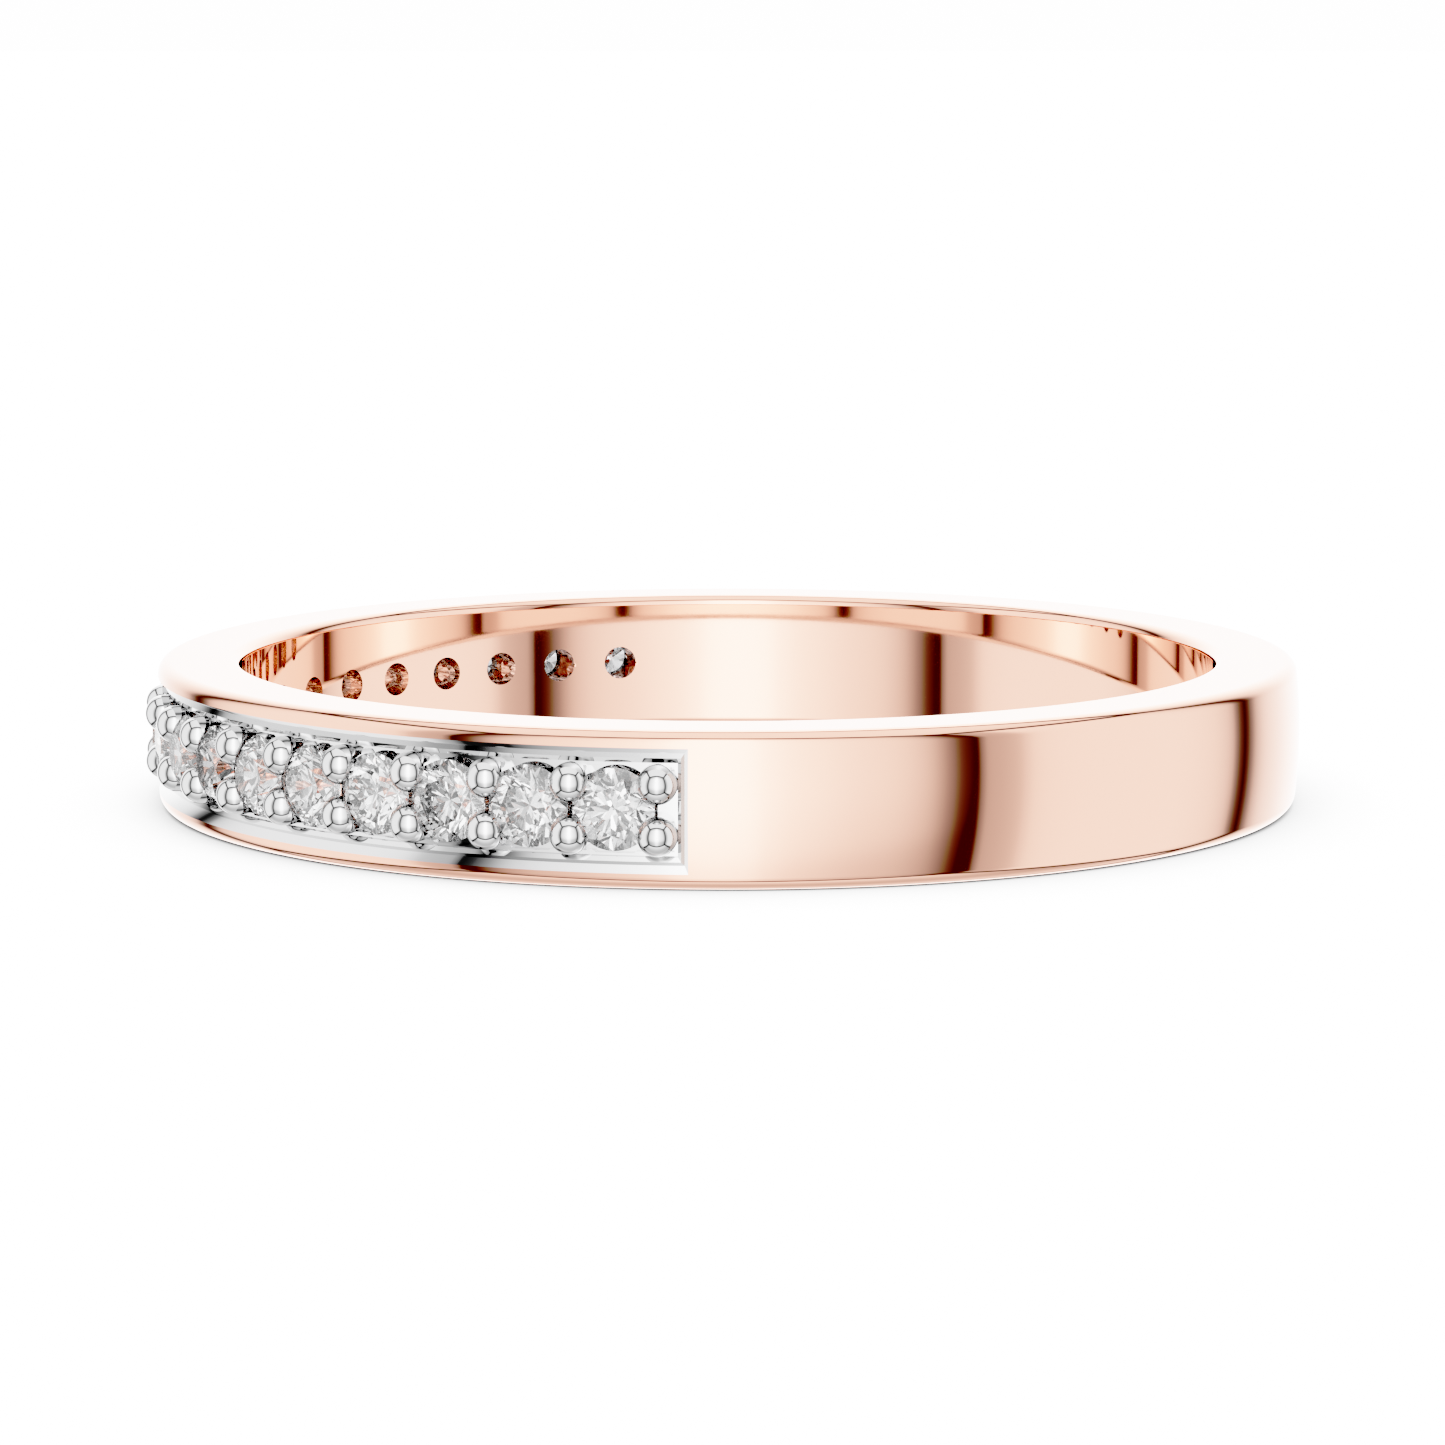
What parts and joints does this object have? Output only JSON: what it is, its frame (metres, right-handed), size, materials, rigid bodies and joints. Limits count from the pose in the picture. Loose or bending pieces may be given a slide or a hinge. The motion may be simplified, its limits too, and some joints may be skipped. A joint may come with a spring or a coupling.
{
  "type": "wedding band",
  "caption": "Half-eternity wedding band: a rose-gold shank with a white-gold tray of round brilliants held by shared bead prongs.",
  "frame": {"origin": "middle of the finger hole, halfway across the band's width", "axes": "+Z along the finger, across the band's width; -X towards the middle of the row of stones"},
  "size_m": [0.0206, 0.0206, 0.0026],
  "materials": {
    "rose_gold": "mirror polished 14k rose gold",
    "white_gold": "mirror polished rhodium-plated white gold",
    "diamond": "clear brilliant-cut stone"
  },
  "bodies": {
    "root": {"shank": "rose_gold", "setting": "white_gold", "diamond_01": "diamond", "diamond_02": "diamond", "diamond_03": "diamond", "diamond_04": "diamond", "diamond_05": "diamond", "diamond_06": "diamond", "diamond_07": "diamond", "diamond_08": "diamond", "diamond_09": "diamond", "diamond_10": "diamond", "diamond_11": "diamond", "diamond_12": "diamond", "diamond_13": "diamond", "diamond_14": "diamond", "diamond_15": "diamond", "diamond_16": "diamond", "diamond_17": "diamond", "diamond_18": "diamond", "diamond_19": "diamond", "diamond_20": "diamond", "prong_pair_01": "white_gold", "prong_pair_02": "white_gold", "prong_pair_03": "white_gold", "prong_pair_04": "white_gold", "prong_pair_05": "white_gold", "prong_pair_06": "white_gold", "prong_pair_07": "white_gold", "prong_pair_08": "white_gold", "prong_pair_09": "white_gold", "prong_pair_10": "white_gold", "prong_pair_11": "white_gold", "prong_pair_12": "white_gold", "prong_pair_13": "white_gold", "prong_pair_14": "white_gold", "prong_pair_15": "white_gold", "prong_pair_16": "white_gold", "prong_pair_17": "white_gold", "prong_pair_18": "white_gold", "prong_pair_19": "white_gold", "prong_pair_20": "white_gold", "prong_pair_21": "white_gold"}
  },
  "joints": []
}
